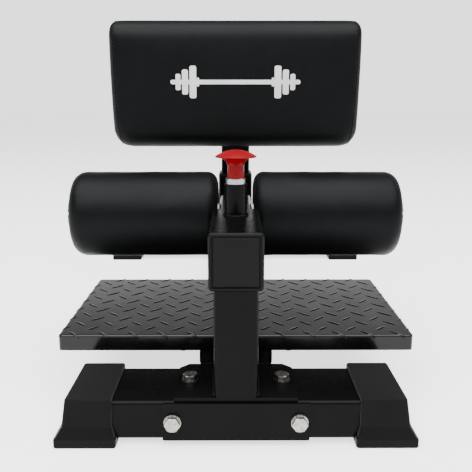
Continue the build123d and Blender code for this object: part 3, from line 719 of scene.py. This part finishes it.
def pad_half_width(z):
    """Half width: widest near the top, drawn in towards the bottom."""
    if z > PAD_WIDEST:
        return PAD_HALF - PAD_TAPER_TOP * ((z - PAD_WIDEST) / (PAD_HIGH.z - PAD_WIDEST)) ** 2
    return PAD_HALF - PAD_TAPER_BOTTOM * ((PAD_WIDEST - z) / (PAD_WIDEST - PAD_LOW.z)) ** 2


def rounding(radius, depth):
    """How far an edge of that radius has drawn in at a depth behind the face."""
    if depth >= radius:
        return 0
    return radius - math.sqrt(radius ** 2 - (radius - depth) ** 2)


def pad_block():
    """Slab with its top edge rolled most, a little under the cushion's size."""
    top, bottom = PAD_HIGH.z - PAD_SHRINK, PAD_LOW.z + PAD_SHRINK
    half = PAD_HALF + PAD_SIDE_EASE
    outline = rounded_outline([(-half, bottom, PAD_BOTTOM_CORNER), (-half, top, PAD_TOP_CORNER),
                               (half, top, PAD_TOP_CORNER), (half, bottom, PAD_BOTTOM_CORNER)])
    front, back = PAD_LOW.y + PAD_SHRINK, PAD_HIGH.y
    middle_z, half_z = (top + bottom) / 2, (top - bottom) / 2
    points = []
    count = len(outline)
    depths = [back - front] + [t * MM for t in (32, 27, 22, 18, 14, 10.5, 7.5, 5, 3, 1.5, 0.6, 0)]
    for depth in depths:
        sides = rounding(PAD_SIDE_ROLL, depth)
        for x, z in outline:
            rise = (z - middle_z) / half_z
            inset = rounding(PAD_TOP_ROLL if rise > 0 else PAD_BOTTOM_ROLL, depth)
            points.append((x * pad_half_width(z) / PAD_HALF * (half - sides) / half,
                           front + depth, middle_z + rise * (half_z - inset)))
    faces = ring_faces(len(depths), count) + end_faces(len(depths), count)
    piece = add_mesh("calf_pad_cover", points, faces)
    remesh = piece.modifiers.new("remesh", "REMESH")
    remesh.mode = "VOXEL"
    remesh.voxel_size = 5 * MM
    return settle(piece)


def inflate(piece):
    """Swell the cushion as cloth under pressure, pinned at its board, and keep the broad part."""
    mesh = piece.data
    start = [vertex.co.copy() for vertex in mesh.vertices]
    normals = [vertex.normal.copy() for vertex in mesh.vertices]
    group = piece.vertex_groups.new(name="board")
    group.add([v.index for v in mesh.vertices if v.co.y > PAD_PINNED], 1.0, "REPLACE")
    cloth = piece.modifiers.new("cloth", "CLOTH")
    cloth.settings.quality = 6
    cloth.settings.mass = 0.3
    cloth.settings.tension_stiffness = 40
    cloth.settings.compression_stiffness = 40
    cloth.settings.bending_stiffness = 5
    cloth.settings.vertex_group_mass = "board"
    cloth.settings.use_pressure = True
    cloth.settings.uniform_pressure_force = PAD_PRESSURE
    cloth.settings.effector_weights.gravity = 0
    cloth.point_cache.frame_start = 1
    cloth.point_cache.frame_end = PAD_FRAMES
    for step in range(1, PAD_FRAMES + 1):
        scene.frame_set(step)
    swollen = evaluated(piece)
    scene.frame_set(1)
    piece.modifiers.clear()
    piece.vertex_groups.clear()
    swell = [min(PAD_SWELL, max(0, (after.co - before).dot(normal)))
             for before, normal, after in zip(start, normals, swollen.vertices)]
    beside = [[] for _ in start]
    for edge in mesh.edges:
        a, b = edge.vertices
        beside[a].append(b)
        beside[b].append(a)
    for _ in range(SWELL_PASSES):
        swell = [(amount + sum(swell[i] for i in near)) / (1 + len(near))
                 for amount, near in zip(swell, beside)]
    for vertex, before, normal, amount in zip(mesh.vertices, start, normals, swell):
        if before.y < PAD_PINNED:
            vertex.co = before + normal * amount


def calf_pad():
    """The pad's cover: inflated, smoothed, and flat where it meets its board."""
    cover = pad_block()
    inflate(cover)
    smooth = cover.modifiers.new("smooth", "SMOOTH")
    smooth.factor = 0.5
    smooth.iterations = 3
    finer = cover.modifiers.new("finer", "SUBSURF")
    finer.levels = 1
    settle(cover)
    for vertex in cover.data.vertices:
        vertex.co.y = min(vertex.co.y, PAD_HIGH.y - 0.2 * MM)
    return cover


pad_cover = calf_pad()
pad_surface = BVHTree.FromPolygons([v.co for v in pad_cover.data.vertices],
                                   [tuple(f.vertices) for f in pad_cover.data.polygons])


def on_pad_front(x, z, lift):
    """Point of the pad's front at x, z, lifted off its surface."""
    hit, normal, _, _ = pad_surface.ray_cast(Vector((x, -1, z)), Vector((0, 1, 0)))
    return hit + normal * lift if hit else None


def pad_end_seam(side):
    """Route of (point, normal) round the pad, between its cover and one end panel."""
    top, bottom = PAD_HIGH.z - PAD_TOP_ROLL, PAD_LOW.z + PAD_BOTTOM_ROLL
    upper, lower = PAD_LOW.y + PAD_TOP_ROLL, PAD_LOW.y + PAD_BOTTOM_ROLL
    back = PAD_HIGH.y - 3 * MM
    aims = [(back + (upper - back) * k / 6, top, 90) for k in range(6)]
    aims += [(upper, top, 90 * (1 - k / 12)) for k in range(13)]
    aims += [(lower, top + (bottom - top) * k / 24, 0) for k in range(1, 24)]
    aims += [(lower, bottom, -90 * k / 12) for k in range(13)]
    aims += [(lower + (back - lower) * k / 6, bottom, -90) for k in range(1, 7)]
    route = []
    for y, z, degrees in aims:
        angle = math.radians(degrees)
        out = Vector((0, -math.cos(angle), math.sin(angle)))
        x = side * (pad_half_width(z + out.z * PAD_BOTTOM_ROLL) - SEAM_INSET)
        hit, normal, _, _ = pad_surface.ray_cast(Vector((x, y, z)) + out, -out)
        if hit:
            route.append((hit, normal))
    return route


def seam_ridge(name, route, radius, count=8):
    """Thin rounded ridge along a route of (point, normal) pairs."""
    points = []
    for i, (point, normal) in enumerate(route):
        ahead = route[min(i + 1, len(route) - 1)][0]
        behind = route[max(i - 1, 0)][0]
        run = (ahead - behind).normalized()
        side = run.cross(normal).normalized()
        for angle in spokes(count):
            points.append(point + (side * math.cos(angle) + normal * math.sin(angle)) * radius)
    faces = ring_faces(len(route), count) + end_faces(len(route), count)
    return add_mesh(name, points, faces)


def stitches(name, route, shift, pitch=4.2 * MM, length=2.6 * MM, radius=0.35 * MM, count=6):
    """Row of short thread stitches beside a seam."""
    points, faces = [], []
    travelled = 0.0
    for i in range(len(route) - 1):
        (a, normal), (b, _) = route[i], route[i + 1]
        travelled += (b - a).length
        if travelled < pitch:
            continue
        travelled = 0.0
        run = (b - a).normalized()
        side = run.cross(normal).normalized()
        hit, off, _, _ = pad_surface.find_nearest(a + side * shift)
        centre = hit + off * 0.15 * MM
        first = len(points)
        for end, size in ((-0.5, 0.4), (-0.3, 1), (0.3, 1), (0.5, 0.4)):
            for angle in spokes(count):
                points.append(centre + run * length * end
                              + (side * math.cos(angle) + off * math.sin(angle)) * radius * size)
        faces += ring_faces(4, count, first) + end_faces(4, count, first)
    return add_mesh(name, points, faces)


BADGE_CENTRE_Z = PAD_LOW.z + 108 * MM
BADGE_THICKNESS, BADGE_STEP, BADGE_SINK = 0.35 * MM, 0.02 * MM, 0.3 * MM


def badge_shapes():
    """Generic barbell: (centre x, centre z, width, height, corner) in metres."""
    shapes = [(0, 0, 214, 7, 3)]
    for side in (-1, 1):
        shapes += [(side * 70, 0, 11, 52, 3), (side * 83, 0, 10, 40, 3),
                   (side * 94.5, 0, 8, 26, 2.5), (side * 62, 0, 4, 14, 1)]
    return [tuple(value * MM for value in shape) for shape in shapes]


def pad_badge(levels=6):
    """Printed pictogram that follows the pad's front: each shape a wall and rings inside it."""
    points, faces = [], []
    for order, (cx, cz, width, height, corner) in enumerate(badge_shapes()):
        right, up = width / 2, height / 2
        outline = rounded_outline([(cx - right, cz - up, corner), (cx - right, cz + up, corner),
                                   (cx + right, cz + up, corner), (cx + right, cz - up, corner)],
                                  steps=5)
        count = len(outline)
        first = len(points)
        for k in range(levels + 1):
            lift = BADGE_THICKNESS + order * BADGE_STEP if k else -BADGE_SINK
            scale = min(1, 1 - k / levels * 0.98 + 1 / levels)
            for x, z in outline:
                points.append(on_pad_front(cx + (x - cx) * scale,
                                           BADGE_CENTRE_Z + cz + (z - cz) * scale, lift))
        faces += ring_faces(levels + 1, count, first)
        faces.append(end_faces(levels + 1, count, first)[1])
    return add_mesh("pad_badge", points, faces, smooth=False)


finish_piece(pad_cover, "vinyl", "calf_rest")
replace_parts(pad_cover, "calf_pad")
for hand, side in (("left", -1), ("right", 1)):
    seam = pad_end_seam(side)
    ridge = seam_ridge(f"pad_{hand}_seam", seam, SEAM_THICKNESS)
    finish_piece(ridge, "vinyl", "calf_rest")
    row = stitches(f"pad_{hand}_stitches", seam, side * STITCH_SHIFT)
    finish_piece(row, "thread", "calf_rest")
finish_piece(pad_badge(), "emblem", "calf_rest")


# ---- camera, floor and light --------------------------------------------

EYE = (-0.002, -1.2, 0.411)
TILT_DOWN, TURN_RIGHT = math.radians(12.2), math.radians(0.16)
SENSOR_WIDTH, FOCAL_LENGTH = 36, 47.3
FLOOR_REACH, FLOOR_GLOW = 40, 1.75
WORLD_STRENGTH = 2.15


def camera():
    """Camera in front of the bench, looking slightly down on it."""
    data = bpy.data.cameras.new("camera")
    data.sensor_width = SENSOR_WIDTH
    data.lens = FOCAL_LENGTH
    eye = bpy.data.objects.new("camera", data)
    eye.location = EYE
    eye.rotation_euler = (math.pi / 2 - TILT_DOWN, 0, -TURN_RIGHT)
    scene.collection.objects.link(eye)
    scene.camera = eye


def floor():
    """Plain pale floor that glows as brightly as the backdrop, so no horizon shows."""
    reach = FLOOR_REACH
    points = [(-reach, -reach, 0), (reach, -reach, 0), (reach, reach, 0), (-reach, reach, 0)]
    piece = add_mesh("floor", points, [(0, 1, 2, 3)])
    material, _, surface = shader("floor_white", grey(0.62), 0.7, specular=0.1)
    surface.inputs["Emission Color"].default_value = (1, 1, 1, 1)
    surface.inputs["Emission Strength"].default_value = FLOOR_GLOW
    piece.data.materials.append(material)


def softbox(name, place, aim, width, height, power):
    """Rectangular area light that faces a point."""
    data = bpy.data.lights.new(name, "AREA")
    data.shape = "RECTANGLE"
    data.size, data.size_y = width, height
    data.energy = power
    lamp = bpy.data.objects.new(name, data)
    lamp.location = place
    lamp.rotation_euler = (Vector(aim) - Vector(place)).to_track_quat("-Z", "Y").to_euler()
    scene.collection.objects.link(lamp)


def ramp_by(tree, source, stops):
    """Grey ramp along a value, from (position, brightness) stops."""
    ramp = tree.nodes.new("ShaderNodeValToRGB")
    while len(ramp.color_ramp.elements) < len(stops):
        ramp.color_ramp.elements.new(0.5)
    for element, (position, value) in zip(ramp.color_ramp.elements, stops):
        element.position = position
        element.color = (value, value, value, 1)
    tree.links.new(source, ramp.inputs["Fac"])
    return ramp.outputs["Color"]


def studio():
    """Bright low backdrop behind the bench, fading above it and round to the front."""
    world = bpy.data.worlds.new("studio")
    scene.world = world
    world.use_nodes = True
    tree = world.node_tree
    place = tree.nodes.new("ShaderNodeTexCoord")
    split = tree.nodes.new("ShaderNodeSeparateXYZ")
    tree.links.new(place.outputs["Generated"], split.inputs["Vector"])
    behind = ramp_by(tree, split.outputs["Z"],
                     [(0.0, 1.0), (0.20, 1.0), (0.27, 0.44), (0.35, 0.24), (0.42, 0.12),
                      (0.8, 0.14)])
    front = ramp_by(tree, split.outputs["Z"],
                    [(0.0, 0.34), (0.10, 0.24), (0.3, 0.08), (0.6, 0.20), (0.8, 0.35)])
    turn = tree.nodes.new("ShaderNodeMapRange")
    turn.inputs["From Min"].default_value = -0.7
    turn.inputs["From Max"].default_value = 0.55
    turn.interpolation_type = "SMOOTHSTEP"
    tree.links.new(split.outputs["Y"], turn.inputs["Value"])
    mix = tree.nodes.new("ShaderNodeMix")
    mix.data_type = "RGBA"
    tree.links.new(turn.outputs["Result"], mix.inputs["Factor"])
    tree.links.new(front, mix.inputs["A"])
    tree.links.new(behind, mix.inputs["B"])
    back = tree.nodes["Background"]
    tree.links.new(mix.outputs["Result"], back.inputs["Color"])
    back.inputs["Strength"].default_value = WORLD_STRENGTH


camera()
floor()
studio()
softbox("ceiling", (0, -1.9, 3.4), (0, -1.7, 0), 6.0, 5.2, 760)
softbox("front_light", (-0.9, -2.6, 2.6), (0, -0.3, 0.3), 1.6, 1.0, 30)
